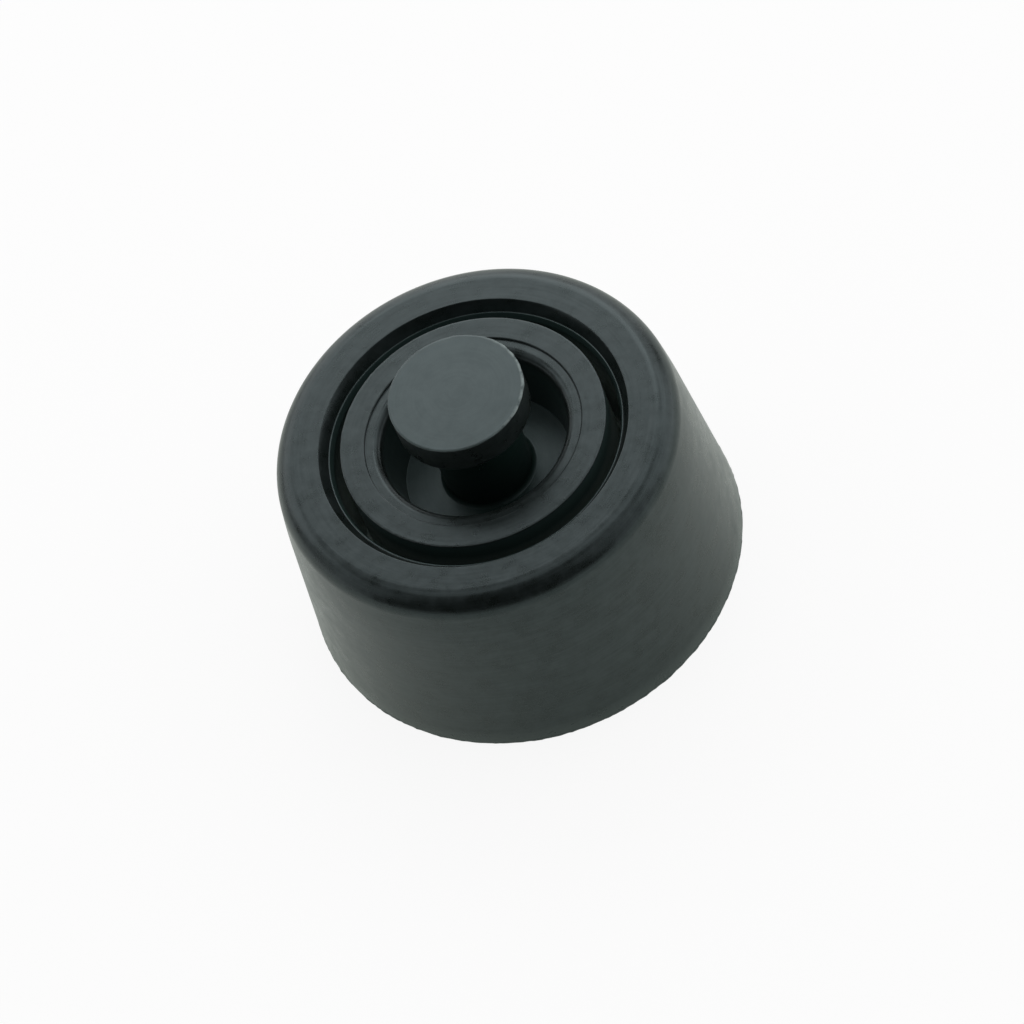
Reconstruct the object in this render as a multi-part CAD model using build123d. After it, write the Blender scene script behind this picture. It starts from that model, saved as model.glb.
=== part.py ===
from build123d import *
import math
import os

# Push-in foot for a case or housing, moulded in one piece.
# Frame: millimetres, origin at the centre of the standing face, +Z along the axis of symmetry,
# from the standing face towards the stem. Every form is turned about +Z, so the foot is one
# half section, revolved. Widths are counted inwards from the rim, heights from the seat: the
# flat annular face that lies against the panel.

# ---- Body ----
body_diameter = 20.0          # across the standing face
body_height = 10.0            # standing face to seat
side_draft = 5.4              # degrees: the side leans in towards the seat
shoulder_radius = 1.1         # rounding between the side and the seat
land_width = 1.1              # flat of the seat outside the groove

# ---- Ring groove ----
groove_width = 1.0            # at the level of the seat
groove_depth = 6.0            # deep enough to leave the outer skirt free of the inner ring
groove_draft = 0.5            # degrees, on both walls
lead_in_width = 0.34          # slanted upper part of the outer wall
lead_in_depth = 0.5
ledge_width = 0.05            # narrow flat at the foot of the slant
ledge_bevel_width = 0.12      # steep bevel between the ledge and the deep wall
ledge_bevel_depth = 0.27

# ---- Inner ring and its stepped lip ----
ring_width = 1.1              # flat top of the ring, level with the seat
step_depth = 0.1              # the lip lies this much below the ring
lip_width = 0.65              # from the step to where the flat lip would meet the well's wall
lip_radius = 0.4              # rounding of the lip into the well

# ---- Well around the stem ----
well_depth = 3.0              # seat to floor
well_draft = 8.9              # degrees: the well narrows towards its floor

# ---- Stem: neck and head ----
neck_diameter = 4.0
neck_foot_radius = 0.4        # where the neck grows out of the well's floor
panel_gap = 1.35              # seat to the underside of the head: room for the panel
head_diameter = 6.0
head_thickness = 1.6
head_edge_radius = 0.25       # rounded lower edge that springs back behind the panel

# ---- Sizes that follow ----
seat_height = body_height
base_radius = body_diameter / 2
shoulder_corner = base_radius - body_height * math.tan(math.radians(side_draft))
shoulder_run = shoulder_radius * math.tan(math.radians(90 - side_draft) / 2)
groove_outer_radius = shoulder_corner - shoulder_run - land_width
ring_outer_radius = groove_outer_radius - groove_width
step_radius = ring_outer_radius - ring_width
well_mouth_radius = step_radius - lip_width
neck_radius = neck_diameter / 2
head_radius = head_diameter / 2


def lean(height, angle):
    """Sideways run of a wall of the given height that leans by the angle in degrees."""
    return height * math.tan(math.radians(angle))


def body_corners():
    """Standing face, drafted side and rounded shoulder."""
    return [
        (0, 0, 0),
        (base_radius, 0, 0),
        (shoulder_corner, seat_height, shoulder_radius),
    ]


def groove_corners():
    """Ring groove: slanted lead-in, ledge, bevel, deep outer wall, floor and inner wall."""
    floor_height = seat_height - groove_depth
    ledge_height = seat_height - lead_in_depth
    ledge_outer = groove_outer_radius - lead_in_width
    ledge_inner = ledge_outer - ledge_width
    bevel_height = ledge_height - ledge_bevel_depth
    bevel_inner = ledge_inner - ledge_bevel_width
    floor_outer = bevel_inner - lean(bevel_height - floor_height, groove_draft)
    floor_inner = ring_outer_radius + lean(groove_depth, groove_draft)
    return [
        (groove_outer_radius, seat_height, 0),
        (ledge_outer, ledge_height, 0),
        (ledge_inner, ledge_height, 0),
        (bevel_inner, bevel_height, 0),
        (floor_outer, floor_height, 0),
        (floor_inner, floor_height, 0),
        (ring_outer_radius, seat_height, 0),
    ]


def well_corners():
    """Step at the inner edge of the ring, rounded lip, tapered wall and floor of the well."""
    lip_height = seat_height - step_depth
    floor_height = seat_height - well_depth
    floor_radius = well_mouth_radius - lean(lip_height - floor_height, well_draft)
    return [
        (step_radius, seat_height, 0),
        (step_radius, lip_height, 0),
        (well_mouth_radius, lip_height, lip_radius),
        (floor_radius, floor_height, 0),
        (neck_radius, floor_height, neck_foot_radius),
    ]


def stem_corners():
    """Neck, underside of the head, its rounded edge and flat top."""
    underside_height = seat_height + panel_gap
    top_height = underside_height + head_thickness
    return [
        (neck_radius, underside_height, 0),
        (head_radius, underside_height, head_edge_radius),
        (head_radius, top_height, 0),
        (0, top_height, 0),
    ]


def make_foot():
    """Half section from the corners of each form, revolved about the axis into one solid."""
    corners = body_corners() + groove_corners() + well_corners() + stem_corners()
    points = [(radius, height) for radius, height, rounding in corners]
    roundings = [rounding for radius, height, rounding in corners]
    outline = FilletPolyline(*points, radius=roundings, close=True)
    section = Plane.XZ * make_face(outline)
    foot = revolve(section, axis=Axis.Z)
    foot.label = "foot"
    return foot


os.makedirs("parts", exist_ok=True)
export_step(make_foot(), "parts/foot.step")
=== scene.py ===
"""A push-in foot for a case or housing: one black flexible moulding with a stem that snaps into a panel.

The scene is in metres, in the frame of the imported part: the standing face lies on the floor at z = 0 and
the axis of symmetry is +Z. Sizes whose names end in _mm are in millimetres, and MM turns them to metres.
"""

import logging
import math
from dataclasses import dataclass, field
from enum import Enum
from typing import Any, Dict, List, Optional, Tuple, Union

import bmesh
import bpy
from mathutils import Matrix, Vector, noise

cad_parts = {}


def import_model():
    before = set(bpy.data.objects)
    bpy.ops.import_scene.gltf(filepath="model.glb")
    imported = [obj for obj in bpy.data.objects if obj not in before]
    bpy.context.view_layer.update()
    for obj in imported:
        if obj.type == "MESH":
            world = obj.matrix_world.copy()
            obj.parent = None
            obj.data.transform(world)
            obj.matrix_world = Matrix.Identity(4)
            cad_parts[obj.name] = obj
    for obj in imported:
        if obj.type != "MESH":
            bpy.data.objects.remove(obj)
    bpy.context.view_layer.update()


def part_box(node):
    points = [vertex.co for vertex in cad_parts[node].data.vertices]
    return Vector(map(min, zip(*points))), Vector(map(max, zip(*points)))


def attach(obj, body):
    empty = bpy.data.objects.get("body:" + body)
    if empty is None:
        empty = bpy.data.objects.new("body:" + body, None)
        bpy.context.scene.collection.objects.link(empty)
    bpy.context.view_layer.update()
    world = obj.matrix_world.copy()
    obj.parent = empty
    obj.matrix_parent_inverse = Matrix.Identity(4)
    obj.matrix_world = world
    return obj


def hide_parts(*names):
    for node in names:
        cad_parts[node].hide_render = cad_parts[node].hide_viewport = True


MM = 0.001
WHITE = (1.0, 1.0, 1.0, 1.0)
EVEN = 0.5    # where a noise pattern has as much above as below
LOG = logging.getLogger("foot")
Source = Union[bpy.types.Node, bpy.types.NodeSocket, float, Tuple[float, ...]]


# ---------------------------------------------------------------- small helpers

class Kind(Enum):
    """The shader nodes that the finishes and the surroundings are made of."""

    BACKGROUND = "ShaderNodeBackground"
    BUMP = "ShaderNodeBump"
    COMBINE = "ShaderNodeCombineXYZ"
    COORDINATES = "ShaderNodeTexCoord"
    DIFFUSE = "ShaderNodeBsdfDiffuse"
    EMISSION = "ShaderNodeEmission"
    LIGHT_PATH = "ShaderNodeLightPath"
    MAPPING = "ShaderNodeMapping"
    MATH = "ShaderNodeMath"
    MIX = "ShaderNodeMix"
    MIX_SHADER = "ShaderNodeMixShader"
    NOISE = "ShaderNodeTexNoise"
    PRINCIPLED = "ShaderNodeBsdfPrincipled"
    RAMP = "ShaderNodeMapRange"
    SEPARATE = "ShaderNodeSeparateXYZ"
    SURFACE = "ShaderNodeOutputMaterial"
    VECTOR = "ShaderNodeVectorMath"
    WORLD = "ShaderNodeOutputWorld"


class Layers(Enum):
    """What a stack of layers is made of."""

    COLOURS = "RGBA"
    VALUES = "FLOAT"


def linear(hex_colour: str) -> Tuple[float, float, float, float]:
    """Turns an sRGB hex colour into the linear RGBA that sockets take.

    Args:
        hex_colour: Six hex digits after a hash sign.

    Returns:
        Red, green and blue in linear light, and an alpha of 1.
    """
    parts = [int(hex_colour[i:i + 2], 16) / 255 for i in (1, 3, 5)]
    red, green, blue = [c / 12.92 if c <= 0.04045 else ((c + 0.055) / 1.055) ** 2.4 for c in parts]
    return red, green, blue, 1.0


def metres(sizes_mm: Tuple[float, ...]) -> List[float]:
    """Turns sizes in millimetres to metres."""
    return [size * MM for size in sizes_mm]


def under(face: float, depths_mm: Tuple[float, ...]) -> List[float]:
    """Heights in metres that lie at some depths in millimetres under a face."""
    return [face - depth * MM for depth in depths_mm]


def add_node(tree: bpy.types.NodeTree, kind: Kind, inputs: Optional[Dict[Any, Source]] = None,
             **settings: Any) -> bpy.types.Node:
    """Adds one shader node with its settings and links.

    Args:
        tree: The node tree that the node joins.
        kind: Which node it is.
        inputs: For each input, by name or index, a constant value, a socket to link from, or a node whose
            first output in use is linked.
        **settings: The node's own properties.

    Returns:
        The new node.
    """
    node = tree.nodes.new(kind.value)
    for name, value in settings.items():
        setattr(node, name, value)
    for socket, value in (inputs or {}).items():
        if isinstance(value, bpy.types.Node):
            value = next(output for output in value.outputs if output.enabled)
        if isinstance(value, bpy.types.NodeSocket):
            tree.links.new(value, node.inputs[socket])
        else:
            node.inputs[socket].default_value = value
    return node


def overlap(tree: bpy.types.NodeTree, *shares: Source) -> Source:
    """Multiplies shares, so that the result is full only where they all are.

    Args:
        tree: The node tree that the nodes join.
        *shares: One share or more, where 1 is full. One of them may be another value that they scale.

    Returns:
        Their product.
    """
    product = shares[0]
    for share in shares[1:]:
        product = add_node(tree, Kind.MATH, {0: product, 1: share}, operation="MULTIPLY")
    return product


def lay_over(tree: bpy.types.NodeTree, made_of: Layers, ground: Source,
             layers: List[Tuple[Source, Source]]) -> Source:
    """Lays colours or values over a ground, one after another.

    Args:
        tree: The node tree that the stack joins.
        made_of: Whether the layers are colours or values.
        ground: What shows where no layer lies.
        layers: For each layer, the lowest first, its share and its colour or value.

    Returns:
        What shows at the top.
    """
    for share, layer in layers:
        ground = add_node(tree, Kind.MIX, {"Factor": share, "A": ground, "B": layer},
                          data_type=made_of.value)
    return ground


def new_material(name: str) -> bpy.types.Material:
    """Starts a node-based material.

    Args:
        name: The material's name.

    Returns:
        The material, whose node tree is still empty.
    """
    material = bpy.data.materials.new(name)
    material.use_nodes = True
    material.node_tree.nodes.clear()
    return material


def new_object(name: str, mesh: bmesh.types.BMesh) -> bpy.types.Object:
    """Turns a finished bmesh into an object at the origin.

    Args:
        name: The object's name.
        mesh: The bmesh, which is freed.

    Returns:
        The object, linked to the scene.
    """
    data = bpy.data.meshes.new(name)
    mesh.to_mesh(data)
    mesh.free()
    piece = bpy.data.objects.new(name, data)
    bpy.context.scene.collection.objects.link(piece)
    return piece


# ---------------------------------------------------------------- the moulding

class Ring(Enum):
    """The circles where two faces of the foot meet, from the standing face inwards and up the stem."""

    BASE_EDGE = "edge of the standing face"
    BROW = "where the side starts to lean into the shoulder"
    SHOULDER = "side to seat"
    GROOVE_RIM = "seat to lead-in"
    LEDGE_OUTER = "lead-in to ledge"
    LEDGE_INNER = "ledge to its bevel"
    GROOVE_WALL = "bevel to deep wall"
    GROOVE_FLOOR_OUTER = "deep wall to groove floor"
    GROOVE_FLOOR_INNER = "groove floor to ring"
    RING_RIM = "outer edge of the ring"
    STEP_TOP = "ring to step"
    STEP_FOOT = "step to lip"
    WELL_MOUTH = "lip to well"
    WELL_FLOOR = "well wall to floor"
    NECK_FOOT = "floor to neck"
    NECK_TOP = "neck to head"
    HEAD_EDGE = "underside of the head to its side"
    HEAD_RIM = "side of the head to its top"


@dataclass(frozen=True)
class Corner:
    """One corner of the half section, in millimetres."""

    ring: Ring
    radius: float
    height: float
    rounding: float = 0.0
    segments: int = 1
    guards: Tuple[float, ...] = (0.015,)    # extra rings this far beyond the rounding keep the faces flat


@dataclass(frozen=True)
class Burr:
    """Ragged plastic along one ring edge, left where the mould closes or a gate or ejector was."""

    ring: Ring
    outwards: Tuple[float, float]      # direction in the half section: radius, height
    height_mm: float
    wavelength_mm: float
    cover: float                       # above 0.5 more than half of the edge is raised
    seed: float
    toward: float = 0.0                # azimuth in degrees where the burr is fullest
    swing: float = 0.0                 # how much fuller it is there
    dimension: float = 0.8             # of its ragged line: how fast the finer waves die out,
    lacunarity: float = 2.1            # how much finer each is than the last
    octaves: int = 3                   # and how many there are


@dataclass
class FootMoulding:
    """The whole foot: one half section turned about the axis.

    The two corners of its bounds are in metres and its angles in degrees. All other lengths are in
    millimetres.
    """

    low: Vector
    high: Vector
    seat_height: float = 10.0
    side_draft: float = 5.4
    shoulder_radius: float = 1.1
    brow_depth: float = 2.2            # the side's draft grows above this depth under the seat
    brow_in: float = 0.1               # and brings the shoulder's corner in by this much
    brow_rounding: float = 30.0
    land_width: float = 1.1
    groove_width: float = 1.0
    groove_depth: float = 6.0
    groove_draft: float = 0.5
    lead_in_width: float = 0.34
    lead_in_depth: float = 0.5
    ledge_width: float = 0.05
    ledge_bevel_width: float = 0.12
    ledge_bevel_depth: float = 0.27
    ring_width: float = 1.1
    step_depth: float = 0.1
    lip_width: float = 0.65
    lip_radius: float = 0.4
    well_depth: float = 3.0
    well_draft: float = 8.9
    neck_radius: float = 2.0
    neck_foot_bevel: float = 0.17
    neck_top_radius: float = 0.15
    head_radius: float = 3.0
    head_thickness: float = 1.6
    head_edge_radius: float = 0.25
    base_edge_radius: float = 0.05
    rim_radius: float = 0.03           # of the rims of groove and ring, and of the top of the deep wall
    step_rim_radius: float = 0.04
    sharp_radius: float = 0.015        # of edges that are sharp to the eye
    floor_radius: float = 0.012        # where a wall meets the floor of groove or well
    ledge_radius: float = 0.01
    fine_guards: Tuple[float, ...] = (0.01,)        # guards of corners that lie close together
    burr_guards: Tuple[float, ...] = (0.07, 0.14)   # and of edges that carry a burr
    steps: int = 360
    merge_distance: float = 0.0005
    burr_reach: Tuple[float, float] = (0.02, 1.2)   # least rounding that a burr spans, and its margin
    burrs: List[Burr] = field(default_factory=lambda: [
        Burr(Ring.BASE_EDGE, (1.0, 0.0), 0.035, 0.3, 0.75, 3.7, -60.0, 0.15),
        Burr(Ring.HEAD_RIM, (1.0, 0.15), 0.05, 0.7, 0.45, 11.2, -30.0, 0.65),
        Burr(Ring.RING_RIM, (0.5, 0.8), 0.02, 0.3, 0.4, 21.9),
    ])

    def corners(self) -> List[Corner]:
        """Works out the half section from the sizes.

        Returns:
            The corners between the two ends on the axis, from the standing face on, in millimetres.
        """
        base = (self.high.x - self.low.x) / 2 / MM
        head_top = self.high.z / MM
        seat = self.seat_height
        shoulder = base - seat * math.tan(math.radians(self.side_draft))
        shoulder_run = self.shoulder_radius * math.tan(math.radians(90 - self.side_draft) / 2)
        brow_height = seat - self.brow_depth
        brow = base - brow_height * math.tan(math.radians(self.side_draft))
        brow_lean = math.atan((brow - shoulder + self.brow_in) / self.brow_depth)
        shoulder_rounding = (shoulder_run - self.brow_in) / math.tan((math.pi / 2 - brow_lean) / 2)
        groove_outer = shoulder - shoulder_run - self.land_width
        ring_outer = groove_outer - self.groove_width
        ledge_outer = groove_outer - self.lead_in_width
        ledge_inner = ledge_outer - self.ledge_width
        ledge = seat - self.lead_in_depth
        groove_floor = seat - self.groove_depth
        draft = math.tan(math.radians(self.groove_draft))
        wall_top = ledge_inner - self.ledge_bevel_width
        bevel_foot = ledge - self.ledge_bevel_depth
        wall_foot = wall_top - (bevel_foot - groove_floor) * draft
        ring_foot = ring_outer + self.groove_depth * draft
        step = ring_outer - self.ring_width
        lip = seat - self.step_depth
        mouth = step - self.lip_width
        well_floor = seat - self.well_depth
        well_foot = mouth - (lip - well_floor) * math.tan(math.radians(self.well_draft))
        underside = head_top - self.head_thickness
        rim, sharp = self.rim_radius, self.sharp_radius
        ledge_rounding, floor = self.ledge_radius, self.floor_radius
        fine, ragged = self.fine_guards, self.burr_guards
        return [
            Corner(Ring.BASE_EDGE, base, 0.0, self.base_edge_radius, segments=2, guards=ragged),
            Corner(Ring.BROW, brow, brow_height, self.brow_rounding, segments=8),
            Corner(Ring.SHOULDER, shoulder - self.brow_in, seat, shoulder_rounding, segments=20),
            Corner(Ring.GROOVE_RIM, groove_outer, seat, rim, segments=2),
            Corner(Ring.LEDGE_OUTER, ledge_outer, ledge, ledge_rounding, guards=fine),
            Corner(Ring.LEDGE_INNER, ledge_inner, ledge, ledge_rounding, guards=fine),
            Corner(Ring.GROOVE_WALL, wall_top, bevel_foot, rim, segments=2),
            Corner(Ring.GROOVE_FLOOR_OUTER, wall_foot, groove_floor, floor, guards=fine),
            Corner(Ring.GROOVE_FLOOR_INNER, ring_foot, groove_floor, floor, guards=fine),
            Corner(Ring.RING_RIM, ring_outer, seat, rim, segments=2, guards=ragged),
            Corner(Ring.STEP_TOP, step, seat, self.step_rim_radius, segments=2),
            Corner(Ring.STEP_FOOT, step, lip, sharp),
            Corner(Ring.WELL_MOUTH, mouth, lip, self.lip_radius, segments=12),
            Corner(Ring.WELL_FLOOR, well_foot, well_floor, floor, guards=fine),
            Corner(Ring.NECK_FOOT, self.neck_radius, well_floor, self.neck_foot_bevel),
            Corner(Ring.NECK_TOP, self.neck_radius, underside, self.neck_top_radius, segments=4),
            Corner(Ring.HEAD_EDGE, self.head_radius, underside, self.head_edge_radius, segments=6),
            Corner(Ring.HEAD_RIM, self.head_radius, head_top, sharp, guards=ragged),
        ]

    def section(self) -> bmesh.types.BMesh:
        """Draws the half section as a chain of edges and rounds its corners.

        Returns:
            A bmesh with no faces, in the plane of X and Z.
        """
        corners = self.corners()
        ends = [Vector((0.0, self.low.z / MM)), Vector((0.0, self.high.z / MM))]
        places = [ends[0]] + [Vector((corner.radius, corner.height)) for corner in corners] + [ends[1]]
        mesh = bmesh.new()
        rounded = []
        last = mesh.verts.new((0.0, 0.0, self.low.z))
        for index, corner in enumerate(corners, 1):
            before, here, after = places[index - 1:index + 2]
            run = corner.rounding * math.tan((here - before).angle(after - here) / 2)
            arrive, leave = (before - here).normalized(), (after - here).normalized()
            stops = [here + arrive * (run + guard) for guard in reversed(corner.guards)]
            stops += [here] + [here + leave * (run + guard) for guard in corner.guards]
            chain = [mesh.verts.new((stop.x * MM, 0.0, stop.y * MM)) for stop in stops]
            for start, end in zip([last] + chain, chain):
                mesh.edges.new((start, end))
            last = chain[-1]
            rounded.append((chain[len(chain) // 2], corner.segments, run))
        mesh.edges.new((last, mesh.verts.new((0.0, 0.0, self.high.z))))
        for vert, segments, run in rounded:
            bmesh.ops.bevel(mesh, geom=[vert], offset=run * MM, offset_type="OFFSET", affect="VERTICES",
                            segments=segments, profile=0.5, material=-1)
        return mesh

    def rag(self, mesh: bmesh.types.BMesh, burr: Burr) -> None:
        """Pulls parts of one ring edge outwards into a thin ragged burr.

        Args:
            mesh: The turned foot.
            burr: Which edge, and how coarse and high its burr is.
        """
        corner = next(c for c in self.corners() if c.ring is burr.ring)
        least, margin = self.burr_reach
        reach = max(corner.rounding, least) * margin
        radial, upward = Vector(burr.outwards).normalized()
        turn = math.radians(burr.toward)
        level = [vert for vert in mesh.verts if abs(vert.co.z / MM - corner.height) < reach]
        for vert in level:
            around = Vector((vert.co.x, vert.co.y, 0.0))
            if math.hypot(around.length / MM - corner.radius, vert.co.z / MM - corner.height) > reach:
                continue
            across = around.normalized()
            place = across * (corner.radius / burr.wavelength_mm) + Vector((0.0, 0.0, burr.seed))
            cover = burr.cover + burr.swing * math.cos(math.atan2(across.y, across.x) - turn)
            line = noise.fractal(place, burr.dimension, burr.lacunarity, burr.octaves)
            raised = max(0.0, line + cover - EVEN)
            grow = min(raised, 1.0) * burr.height_mm * MM
            vert.co += (across * radial + Vector((0.0, 0.0, upward))) * grow

    def build(self) -> bpy.types.Object:
        """Turns the section about the axis into the closed moulding.

        Returns:
            The piece, at the origin, with smooth faces.
        """
        mesh = self.section()
        bmesh.ops.spin(mesh, geom=mesh.verts[:] + mesh.edges[:], cent=(0, 0, 0), axis=(0, 0, 1),
                       angle=2 * math.pi, steps=self.steps, use_merge=True)
        bmesh.ops.remove_doubles(mesh, verts=mesh.verts, dist=self.merge_distance * MM)
        bmesh.ops.recalc_face_normals(mesh, faces=mesh.faces)
        for burr in self.burrs:
            self.rag(mesh, burr)
        for face in mesh.faces:
            face.smooth = True
        return new_object("foot_moulding", mesh)


# ---------------------------------------------------------------- the finish

class Zone(Enum):
    """Where on the foot the finish changes."""

    PEAKS = "peaks of the mottle"
    # painted light: a lighter band that stands in for the white table's reflection
    TABLE_REFLECTION = "the last millimetre above the standing face"
    HEAD = "top face of the head"
    WHITENED = "patches of the burr on one side of the head's rim"
    GROOVE = "inside the groove"
    DEEP = "where the groove's dust is thick"
    WELL = "inside the well"
    NECK = "the neck and the inner part of the head's underside"
    SEAM = "rougher half of the fine seam beside the step"


@dataclass(frozen=True)
class Grain:
    """Smooth noise around 0.5, with patches of one size."""

    size_mm: float
    detail: float
    roughness: float = 0.5


@dataclass(frozen=True)
class Spot:
    """What the finish knows of the spot that is shaded, in metres."""

    tree: bpy.types.NodeTree
    place: bpy.types.NodeSocket        # Object coordinates
    apart: bpy.types.Node              # the same, as X, Y and Z
    radius: bpy.types.Node             # distance from the axis
    outwards: bpy.types.Node           # direction away from the axis

    @classmethod
    def of(cls, tree: bpy.types.NodeTree) -> "Spot":
        """Adds the nodes that measure where the spot is.

        Args:
            tree: The material's node tree.

        Returns:
            The spot.
        """
        place = add_node(tree, Kind.COORDINATES).outputs["Object"]
        flat = add_node(tree, Kind.VECTOR, {0: place, 1: (1, 1, 0)}, operation="MULTIPLY")
        return cls(tree, place,
                   apart=add_node(tree, Kind.SEPARATE, {0: place}),
                   radius=add_node(tree, Kind.VECTOR, {0: flat}, operation="LENGTH"),
                   outwards=add_node(tree, Kind.VECTOR, {0: flat}, operation="NORMALIZE"))


@dataclass(frozen=True)
class MouldedVinyl:
    """Flexible black PVC, injection moulded in a turned steel cavity.

    Carbon black leaves almost no colour of its own, so the eye reads it by its satin reflection. Its cool
    cast square on is painted light, the lamps' colour laid into the reflection's tint; at a glance it is
    neutral. The turned cavity prints faint short marks around the axis, and the plastic shrinks a little
    unevenly, which mottles the reflection. The well and the groove were left as spark-eroded, so they are
    matt, and they hold a grey dust of plasticiser.
    """

    base: str = "#111614"
    bloom: str = "#1d2222"             # thin greyish bloom of plasticiser and dust
    groove_dust: str = "#273634"       # what has settled in the groove, high on its walls
    deep_dust: str = "#a8b8b2"         # and towards its floor
    well_dust: str = "#1a2725"         # a thinner film in the well
    neck_dust: str = "#142420"         # and on the neck and under the head
    table_reflection_paint: str = "#424946"         # painted reflection of the white table, as a lighter last millimetre above the standing face
    head_painted_highlight: str = "#353d3d"        # painted highlight: the head's top made lighter for its stronger reflection of the lamps
    whitened: str = "#6a7270"          # stressed burr at the head's edge
    cool_light_tint: str = "#e5fbff"    # painted light: the lamps' cool colour in the reflection, full on the mottle's peaks
    dulled_cool_light_tint: str = "#cde2e6"       # and the same painted cool tint in its hollows, which dirt has dulled
    ior: float = 1.53
    specular_level: float = 0.5
    roughness: float = 0.30
    patchiness: float = 0.05           # how far the roughness strays
    head_roughness: float = 0.25
    recess_roughness: float = 0.45
    seam_roughness: float = 0.9
    mottle: Grain = Grain(1.0, 5.0, 0.68)
    mottle_range: Tuple[float, float] = (0.34, 0.66)        # from hollow to peak
    tool_mark_mm: Tuple[float, float] = (2.5, 0.11)         # length around the axis, spacing
    tool_mark_detail: float = 1.0
    marks_in_mottle: float = 0.35      # weight of the tool marks in the colour
    marks_in_relief: float = 0.15      # and in the relief
    sink: Grain = Grain(0.7, 1.0)      # uneven shrinkage
    bump_mm: float = 0.008
    table_reflection_mm: Tuple[float, float] = (0.9, 0.15)           # heights where the painted reflection of the table fades in
    head_fade_mm: Tuple[float, float] = (0.1, 0.02)         # depths where the head's top begins
    head_highlight_range: Tuple[float, float] = (0.8, 1.0)      # share of the head's painted highlight in the mottle's hollows and on its peaks
    head_tint_share: float = 0.5       # how far its reflection loses the dulled tint
    whitened_grain: Grain = Grain(0.3, 2.0)
    whitened_range: Tuple[float, float] = (0.35, 0.6)       # of that grain, from plain to whitened
    whitened_mm: Tuple[float, float] = (2.87, 2.95)         # radii where the whitened burr fades in
    whitened_toward: float = -15.0     # azimuth in degrees of the whitened burr
    whitened_spread: Tuple[float, float] = (0.45, 0.85)     # cosines of the angle off it, as it fades in
    groove_radii_mm: Tuple[float, float] = (5.9, 6.59)
    groove_fade_mm: Tuple[float, float] = (0.03, 0.12)      # depths where its matt finish fades in
    deep_fade_mm: Tuple[float, float] = (0.8, 3.5)          # and where its dust thickens
    well_radius_mm: float = 4.4
    well_fade_mm: Tuple[float, float] = (0.3, 0.7)          # depths where its matt finish fades in
    neck_fade_mm: Tuple[float, float] = (2.6, 2.3)          # radii where its film fades in
    under_head_mm: float = 1.55        # depth of the film's upper end under the head's top
    seam_radius_mm: float = 4.89
    seam_width_mm: Tuple[float, float] = (0.035, 0.014)     # off its middle, where it fades in
    seam_depth_mm: Tuple[float, float] = (0.3, 0.2)         # depths under the seat where it fades in
    seam_toward: float = 10.0          # azimuth in degrees of its rougher half
    seam_spread: Tuple[float, float] = (-0.9, -0.2)         # and the cosines where that half fades in

    def tool_marks(self, spot: Spot) -> bpy.types.Node:
        """Short marks around the axis, as a turned cavity leaves them.

        Args:
            spot: The shaded spot.

        Returns:
            Their height, around 0.5.
        """
        length, spacing = metres(self.tool_mark_mm)
        across, over, up = spot.apart.outputs
        profile = add_node(spot.tree, Kind.MATH, {0: up, 1: spot.radius}, operation="SUBTRACT")
        along = add_node(spot.tree, Kind.COMBINE, {"X": across, "Y": over, "Z": profile})
        stretched = add_node(spot.tree, Kind.MAPPING,
                             {"Vector": along, "Scale": (1 / length, 1 / length, 1 / spacing)})
        return add_node(spot.tree, Kind.NOISE,
                        {"Vector": stretched, "Scale": 1.0, "Detail": self.tool_mark_detail})

    def zones(self, spot: Spot, marked: Source, patches: Source, seat: float,
              head_top: float) -> Dict[Zone, Source]:
        """Works out how far a spot is inside each zone.

        Args:
            spot: The shaded spot.
            marked: The mottle with the tool marks on it.
            patches: The grain of the whitened burr.
            seat: Height of the seat in metres.
            head_top: Height of the head's top face in metres.

        Returns:
            For each zone its share, from 0 outside it to 1 inside.
        """
        tree, radius, height = spot.tree, spot.radius, spot.apart.outputs["Z"]
        turns = [math.radians(azimuth) for azimuth in (self.whitened_toward, self.seam_toward)]
        whitened_side, seam_side = [
            add_node(tree, Kind.VECTOR, {0: spot.outwards, 1: (math.cos(turn), math.sin(turn), 0)},
                     operation="DOT_PRODUCT")
            for turn in turns]
        beside_seam = add_node(tree, Kind.MATH, {0: radius, 1: self.seam_radius_mm * MM},
                               operation="SUBTRACT")
        off_seam = add_node(tree, Kind.MATH, {0: beside_seam}, operation="ABSOLUTE")
        inner, outer = metres(self.groove_radii_mm)
        cuts = {
            Zone.GROOVE: [(radius, "GREATER_THAN", inner), (radius, "LESS_THAN", outer)],
            Zone.WELL: [(radius, "LESS_THAN", self.well_radius_mm * MM)],
            Zone.NECK: [(height, "LESS_THAN", head_top - self.under_head_mm * MM)],
        }
        head = (height, under(head_top, self.head_fade_mm))
        fades = {
            Zone.PEAKS: [(marked, self.mottle_range)],
            Zone.TABLE_REFLECTION: [(height, metres(self.table_reflection_mm))],
            Zone.HEAD: [head],
            Zone.WHITENED: [(radius, metres(self.whitened_mm)), head,
                            (whitened_side, self.whitened_spread), (patches, self.whitened_range)],
            Zone.GROOVE: [(height, under(seat, self.groove_fade_mm))],
            Zone.DEEP: [(height, under(seat, self.deep_fade_mm))],
            Zone.WELL: [(height, under(seat, self.well_fade_mm))],
            Zone.NECK: [(radius, metres(self.neck_fade_mm))],
            Zone.SEAM: [(off_seam, metres(self.seam_width_mm)), (seam_side, self.seam_spread),
                        (height, under(seat, self.seam_depth_mm))],
        }
        shares = {}
        for zone in Zone:
            inside = [add_node(tree, Kind.MATH, {0: value, 1: limit}, operation=operation)
                      for value, operation, limit in cuts.get(zone, [])]
            inside += [add_node(tree, Kind.RAMP, {"Value": value, "From Min": start, "From Max": end})
                       for value, (start, end) in fades[zone]]
            shares[zone] = overlap(tree, *inside)
        return shares

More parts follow.
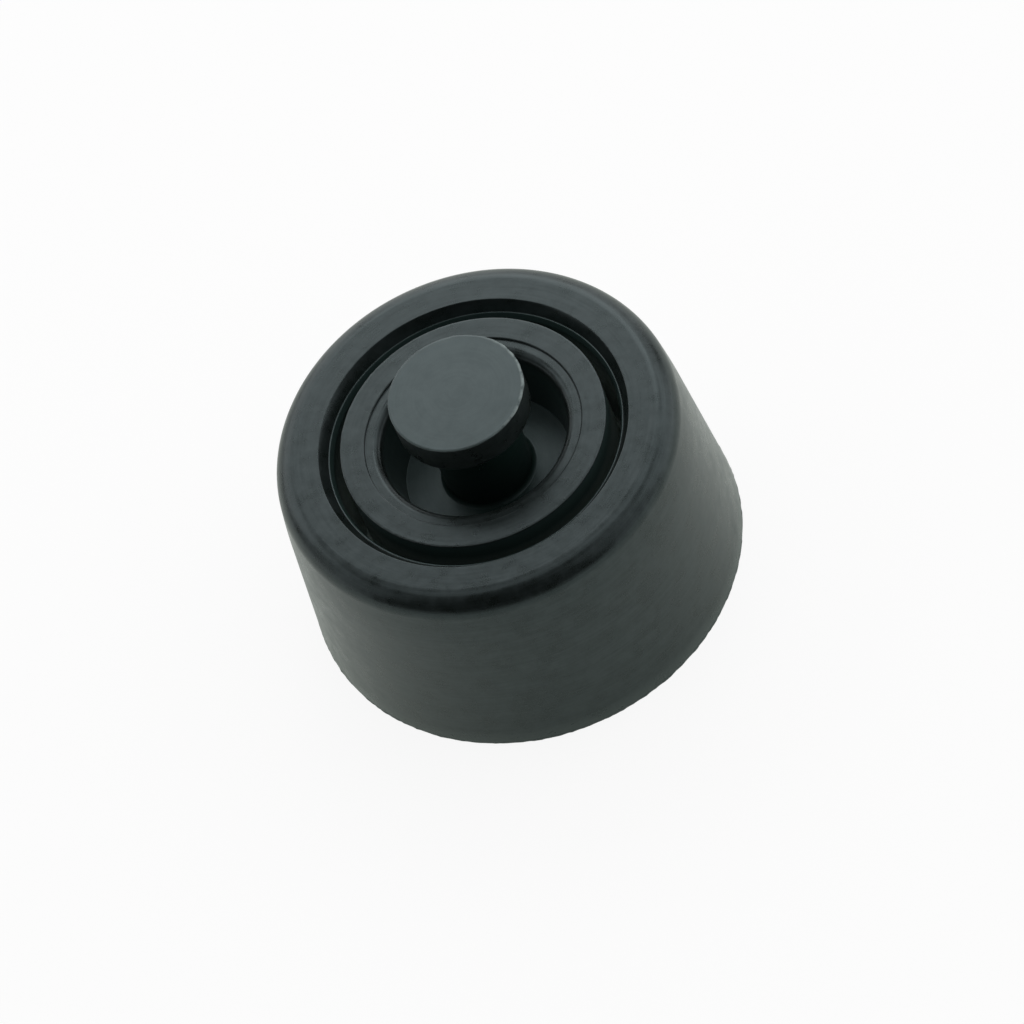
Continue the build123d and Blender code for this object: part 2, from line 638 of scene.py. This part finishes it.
    def colour(self, tree: bpy.types.NodeTree, zones: Dict[Zone, Source]) -> Source:
        """Lays bloom and dust over the black plastic, with painted light: a painted reflection of the
        table above the standing face and a painted highlight on the head's top.

        Args:
            tree: The material's node tree.
            zones: The share of each zone.

        Returns:
            The colour.
        """
        # share of the painted highlight on the head's top, fuller on the mottle's peaks
        least, most = self.head_highlight_range
        head_highlight_mottle = add_node(tree, Kind.RAMP, {"Value": zones[Zone.PEAKS], "To Min": least, "To Max": most})
        settled = lay_over(tree, Layers.COLOURS, linear(self.groove_dust),
                           [(zones[Zone.DEEP], linear(self.deep_dust))])
        return lay_over(tree, Layers.COLOURS, linear(self.base), [
            (zones[Zone.PEAKS], linear(self.bloom)),
            # painted reflection of the white table, a lighter band above the standing face
            (zones[Zone.TABLE_REFLECTION], linear(self.table_reflection_paint)),
            # painted highlight on the head's top, standing in for its stronger reflection
            (overlap(tree, zones[Zone.HEAD], head_highlight_mottle), linear(self.head_painted_highlight)),
            (zones[Zone.WHITENED], linear(self.whitened)),
            (zones[Zone.GROOVE], settled),
            (zones[Zone.WELL], linear(self.well_dust)),
            (zones[Zone.NECK], linear(self.neck_dust)),
        ])

    def sheen(self, tree: bpy.types.NodeTree, zones: Dict[Zone, Source]) -> Source:
        """Tints the reflection with painted light, the lamps' cool colour, which dirt dulls in the
        mottle's hollows.

        Args:
            tree: The material's node tree.
            zones: The share of each zone.

        Returns:
            The tint of the reflection when it is seen square on.
        """
        clean = linear(self.cool_light_tint)
        # painted light: the lamps' cool colour, laid into the reflection's tint
        return lay_over(tree, Layers.COLOURS, linear(self.dulled_cool_light_tint), [
            (zones[Zone.PEAKS], clean),
            (overlap(tree, zones[Zone.HEAD], self.head_tint_share), clean),
        ])

    def gloss(self, tree: bpy.types.NodeTree, zones: Dict[Zone, Source], mottle: Source) -> Source:
        """Works out how rough each spot is.

        Args:
            tree: The material's node tree.
            zones: The share of each zone.
            mottle: The mottle without the tool marks.

        Returns:
            The roughness.
        """
        hollow, peak = self.mottle_range
        satin = add_node(tree, Kind.RAMP, {
            "Value": mottle, "From Min": hollow, "From Max": peak,
            "To Min": self.roughness - self.patchiness, "To Max": self.roughness + self.patchiness})
        recess = add_node(tree, Kind.MATH, {0: zones[Zone.GROOVE], 1: zones[Zone.WELL]},
                          operation="MAXIMUM")
        return lay_over(tree, Layers.VALUES, satin, [
            (zones[Zone.HEAD], self.head_roughness),
            (recess, self.recess_roughness),
            (zones[Zone.SEAM], self.seam_roughness),
        ])

    def relief(self, tree: bpy.types.NodeTree, zones: Dict[Zone, Source], marks: Source,
               sunken: Source) -> bpy.types.Node:
        """Bumps the surface with shrinkage and tool marks, except on the smooth top of the head.

        Args:
            tree: The material's node tree.
            zones: The share of each zone.
            marks: The tool marks.
            sunken: The uneven shrinkage.

        Returns:
            The bumped normal.
        """
        uneven = add_node(tree, Kind.MATH, {0: marks, 1: self.marks_in_relief, 2: sunken},
                          operation="MULTIPLY_ADD")
        off_head = add_node(tree, Kind.RAMP, {"Value": zones[Zone.HEAD], "To Min": 1.0, "To Max": 0.0})
        return add_node(tree, Kind.BUMP, {"Height": overlap(tree, uneven, off_head),
                                          "Distance": self.bump_mm * MM, "Strength": 1.0})

    def build(self, seat: float, head_top: float) -> bpy.types.Material:
        """Makes the material.

        Args:
            seat: Height of the seat in metres.
            head_top: Height of the head's top face in metres, which left the mould smoother.

        Returns:
            The node-based material, patterned on Object coordinates.
        """
        material = new_material("moulded_flexible_pvc")
        tree = material.node_tree
        spot = Spot.of(tree)
        mottle, sunken, patches = [
            add_node(tree, Kind.NOISE, {"Vector": spot.place, "Scale": 1 / (grain.size_mm * MM),
                                        "Detail": grain.detail, "Roughness": grain.roughness})
            for grain in (self.mottle, self.sink, self.whitened_grain)]
        marks = self.tool_marks(spot)
        centred = add_node(tree, Kind.MATH, {0: marks, 1: EVEN}, operation="SUBTRACT")
        marked = add_node(tree, Kind.MATH, {0: centred, 1: self.marks_in_mottle, 2: mottle},
                          operation="MULTIPLY_ADD")
        zones = self.zones(spot, marked, patches, seat, head_top)
        shader = add_node(tree, Kind.PRINCIPLED, {
            "Base Color": self.colour(tree, zones),
            "Roughness": self.gloss(tree, zones, mottle),
            "IOR": self.ior,
            "Specular IOR Level": self.specular_level,
            "Specular Tint": self.sheen(tree, zones),
            "Normal": self.relief(tree, zones, marks, sunken)})
        add_node(tree, Kind.SURFACE, {"Surface": shader})
        return material


@dataclass(frozen=True)
class WhiteLaminate:
    """White melamine laminate, pressed against a matt plate.

    It is lit and takes the foot's shadow, and a share of plain white keeps it pale behind the foot.
    """

    lit_colour: str = "#f4f4f4"
    mirrored_cast: str = "#f3fff2"     # the laminate's faint green, which shows at a glance
    glow_seen: float = 0.9             # share of plain white in the table as the camera sees it
    glow_mirrored: float = 0.44        # and as the foot mirrors it; the rest is lit and takes the shadow

    def build(self) -> bpy.types.Material:
        """Makes the material.

        Returns:
            The node-based material, which glows only for rays that see it as the background.
        """
        material = new_material("white_laminate")
        tree = material.node_tree
        rays = add_node(tree, Kind.LIGHT_PATH).outputs
        lit = add_node(tree, Kind.DIFFUSE, {"Color": linear(self.lit_colour)})
        cast = lay_over(tree, Layers.COLOURS, WHITE, [(rays["Is Glossy Ray"], linear(self.mirrored_cast))])
        glow = add_node(tree, Kind.EMISSION, {"Color": cast, "Strength": 1.0})
        direct = add_node(tree, Kind.MATH, {0: rays["Is Camera Ray"], 1: rays["Is Transmission Ray"]},
                          operation="MAXIMUM")
        mirrored = overlap(tree, rays["Is Glossy Ray"], self.glow_mirrored)
        share = add_node(tree, Kind.MATH, {0: direct, 1: self.glow_seen, 2: mirrored},
                         operation="MULTIPLY_ADD")
        mixed = add_node(tree, Kind.MIX_SHADER, {0: share, 1: lit, 2: glow})
        add_node(tree, Kind.SURFACE, {"Surface": mixed})
        return material


@dataclass(frozen=True)
class BlackFelt:
    """Black wool felt, pressed and raised, which gives the eye an even dark grey with no shine."""

    colour: str = "#262626"

    def build(self) -> bpy.types.Material:
        """Makes the material.

        Returns:
            The node-based material.
        """
        material = new_material("black_felt")
        cloth = add_node(material.node_tree, Kind.DIFFUSE, {"Color": linear(self.colour)})
        add_node(material.node_tree, Kind.SURFACE, {"Surface": cloth})
        return material


# ---------------------------------------------------------------- studio and camera

@dataclass(frozen=True)
class SoftLamp:
    """A rectangular lamp with a diffusing cloth, aimed at the foot."""

    name: str
    azimuth: float                     # degrees from +X towards +Y
    elevation: float                   # degrees above the floor
    distance_mm: float
    size_mm: Tuple[float, float]
    radiance: float                    # 1 shows as white where it is mirrored

    def build(self, target: Vector) -> bpy.types.Object:
        """Hangs the lamp.

        Args:
            target: The point that it faces, in metres.

        Returns:
            The lamp's object.
        """
        width, height = metres(self.size_mm)
        data = bpy.data.lights.new(self.name, "AREA")
        data.shape = "RECTANGLE"
        data.size, data.size_y = width, height
        data.energy = self.radiance * math.pi * width * height
        lamp = bpy.data.objects.new(self.name, data)
        bpy.context.scene.collection.objects.link(lamp)
        turn, rise = math.radians(self.azimuth), math.radians(self.elevation)
        away = Vector((math.cos(turn) * math.cos(rise), math.sin(turn) * math.cos(rise), math.sin(rise)))
        lamp.location = target + away * self.distance_mm * MM
        lamp.rotation_euler = away.to_track_quat("Z", "Y").to_euler()
        lamp.visible_camera = False
        return lamp


@dataclass(frozen=True)
class Studio:
    """A white table in a dark room with soft lamps, as small black parts are shot."""

    laminate: WhiteLaminate = WhiteLaminate()
    felt: BlackFelt = BlackFelt()
    table_radius_mm: float = 1500.0
    table_segments: int = 128
    tent_radius_mm: float = 900.0
    tent_segments: int = 64
    tent_rings: int = 45
    tent_foot: float = 4.0             # degrees above the table where the dark cloth starts
    flag_distance_mm: float = 150.0
    flag_size_mm: Tuple[float, float] = (220.0, 57.0)
    flag_foot_mm: float = 13.0         # gap between the table and the flag
    ambient: float = 0.1
    lamps: Tuple[SoftLamp, ...] = (
        SoftLamp("key_softbox", 77.0, 38.0, 680.0, (381.0, 428.0), 2.6),
        SoftLamp("left_softbox", 123.0, 30.0, 500.0, (385.0, 385.0), 1.6),
        SoftLamp("low_reflector", 90.0, 11.0, 500.0, (250.0, 175.0), 1.3),
        SoftLamp("low_right_reflector", 58.0, 11.0, 500.0, (290.0, 175.0), 1.0),
        SoftLamp("right_softbox", 5.0, 24.5, 500.0, (400.0, 450.0), 1.35),
        SoftLamp("right_back_scrim", 41.0, 46.0, 500.0, (285.0, 465.0), 1.2),
        SoftLamp("overhead_scrim", 82.0, 82.0, 500.0, (445.0, 220.0), 0.95),
        SoftLamp("left_fill", 172.0, 27.0, 500.0, (300.0, 480.0), 0.68),
        SoftLamp("front_reflector", -37.0, 34.0, 500.0, (385.0, 670.0), 0.55),
    )

    def table(self) -> bpy.types.Object:
        """Lays the white table top, a disc under the foot.

        Returns:
            The table top.
        """
        mesh = bmesh.new()
        bmesh.ops.create_circle(mesh, cap_ends=True, segments=self.table_segments,
                                radius=self.table_radius_mm * MM)
        top = new_object("table_top", mesh)
        top.data.materials.append(self.laminate.build())
        return top

    @staticmethod
    def dark_cloth(name: str, mesh: bmesh.types.BMesh, felt: bpy.types.Material) -> bpy.types.Object:
        """Hangs up something faced with felt, which shows in the foot's reflections alone.

        Args:
            name: Its name.
            mesh: Its shape, in place.
            felt: The material.

        Returns:
            The cloth or card.
        """
        cloth = new_object(name, mesh)
        cloth.data.materials.append(felt)
        cloth.visible_camera = False
        cloth.visible_diffuse = False
        cloth.visible_shadow = False
        return cloth

    def tent(self, felt: bpy.types.Material) -> bpy.types.Object:
        """Hangs dark cloth round the table, which the foot mirrors and the camera looks through.

        Args:
            felt: The material.

        Returns:
            The tent.
        """
        mesh = bmesh.new()
        radius = self.tent_radius_mm * MM
        bmesh.ops.create_uvsphere(mesh, u_segments=self.tent_segments, v_segments=self.tent_rings,
                                  radius=radius)
        foot = radius * math.sin(math.radians(self.tent_foot))
        bmesh.ops.bisect_plane(mesh, geom=mesh.verts[:] + mesh.edges[:] + mesh.faces[:],
                               plane_co=(0, 0, foot), plane_no=(0, 0, 1), clear_inner=True)
        return self.dark_cloth("dark_tent", mesh, felt)

    def flag(self, felt: bpy.types.Material) -> bpy.types.Object:
        """Stands a black card between foot and camera, which darkens the side that faces the camera.

        Args:
            felt: The material.

        Returns:
            The card.
        """
        mesh = bmesh.new()
        bmesh.ops.create_grid(mesh, x_segments=1, y_segments=1, size=0.5)    # a square with sides of 1
        width, height = metres(self.flag_size_mm)
        bmesh.ops.scale(mesh, vec=(width, height, 1.0), verts=mesh.verts)
        bmesh.ops.rotate(mesh, matrix=Matrix.Rotation(math.radians(90), 3, "X"), verts=mesh.verts)
        middle = self.flag_foot_mm * MM + height / 2
        bmesh.ops.translate(mesh, vec=(0.0, -self.flag_distance_mm * MM, middle), verts=mesh.verts)
        return self.dark_cloth("black_flag", mesh, felt)

    def surroundings(self) -> bpy.types.World:
        """Sets the world: white where it is seen or mirrored, dim where it lights the foot.

        Returns:
            The world.
        """
        world = bpy.data.worlds.new("studio_room")
        world.use_nodes = True
        tree = world.node_tree
        tree.nodes.clear()
        rays = add_node(tree, Kind.LIGHT_PATH).outputs
        seen = rays["Is Camera Ray"]
        for other in ("Is Glossy Ray", "Is Transmission Ray"):
            seen = add_node(tree, Kind.MATH, {0: seen, 1: rays[other]}, operation="MAXIMUM")
        level = add_node(tree, Kind.RAMP, {"Value": seen, "To Min": self.ambient, "To Max": 1.0})
        glow = add_node(tree, Kind.BACKGROUND, {"Color": WHITE, "Strength": level})
        add_node(tree, Kind.WORLD, {"Surface": glow})
        bpy.context.scene.world = world
        return world

    def build(self, target: Vector) -> None:
        """Sets up table, cloth, world and lamps.

        Args:
            target: The point that the lamps face, in metres.
        """
        felt = self.felt.build()
        for piece in (self.table(), self.tent(felt), self.flag(felt)):
            LOG.info("stage %s", piece.name)
        self.surroundings()
        for lamp in self.lamps:
            LOG.info("lamp %s", lamp.build(target).name)
        bpy.context.scene.view_settings.view_transform = "Standard"


@dataclass(frozen=True)
class Viewpoint:
    """Where the camera stands: it looks down at the seat, with the picture's frame tilted."""

    elevation: float = 54.43           # degrees above the table
    roll: float = 24.11                # degrees
    distance_mm: float = 179.72        # along the lens axis to the centre of the seat
    beside_axis_mm: float = -1.733     # the seat's centre, right of the lens axis
    above_axis_mm: float = 3.547       # the seat's centre, above the lens axis
    lens_mm: float = 145.59
    sensor_mm: float = 36.0
    nearest_mm: float = 10.0           # what is closer to the lens isn't drawn

    def build(self, seat_centre: Vector) -> bpy.types.Object:
        """Places the camera and makes it the scene's.

        Args:
            seat_centre: Centre of the seat in metres.

        Returns:
            The camera.
        """
        rise = math.radians(self.elevation)
        back = Vector((0.0, -math.cos(rise), math.sin(rise)))
        right = Vector((1.0, 0.0, 0.0))
        level = Matrix((right, back.cross(right), back))
        turned = Matrix.Rotation(math.radians(self.roll), 3, "Z") @ level
        seen = Vector((self.beside_axis_mm, self.above_axis_mm, -self.distance_mm)) * MM
        data = bpy.data.cameras.new("camera")
        data.sensor_width = self.sensor_mm
        data.lens = self.lens_mm
        data.clip_start = self.nearest_mm * MM
        camera = bpy.data.objects.new("camera", data)
        bpy.context.scene.collection.objects.link(camera)
        pose = turned.transposed().to_4x4()
        pose.translation = seat_centre - turned.transposed() @ seen
        camera.matrix_world = pose
        bpy.context.scene.camera = camera
        return camera


def main() -> None:
    """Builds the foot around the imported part, dresses it and sets up the studio."""
    logging.basicConfig(level=logging.INFO, format="%(name)s: %(message)s")
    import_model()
    low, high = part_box("foot")
    moulding = FootMoulding(low, high)
    piece = moulding.build()
    piece.data.materials.append(MouldedVinyl().build(moulding.seat_height * MM, high.z))
    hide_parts("foot")
    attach(piece, "root")
    LOG.info("piece %s: %d faces", piece.name, len(piece.data.polygons))
    seat_centre = Vector((0.0, 0.0, moulding.seat_height * MM))
    Studio().build(seat_centre)
    Viewpoint().build(seat_centre)


if __name__ == "__main__":
    main()
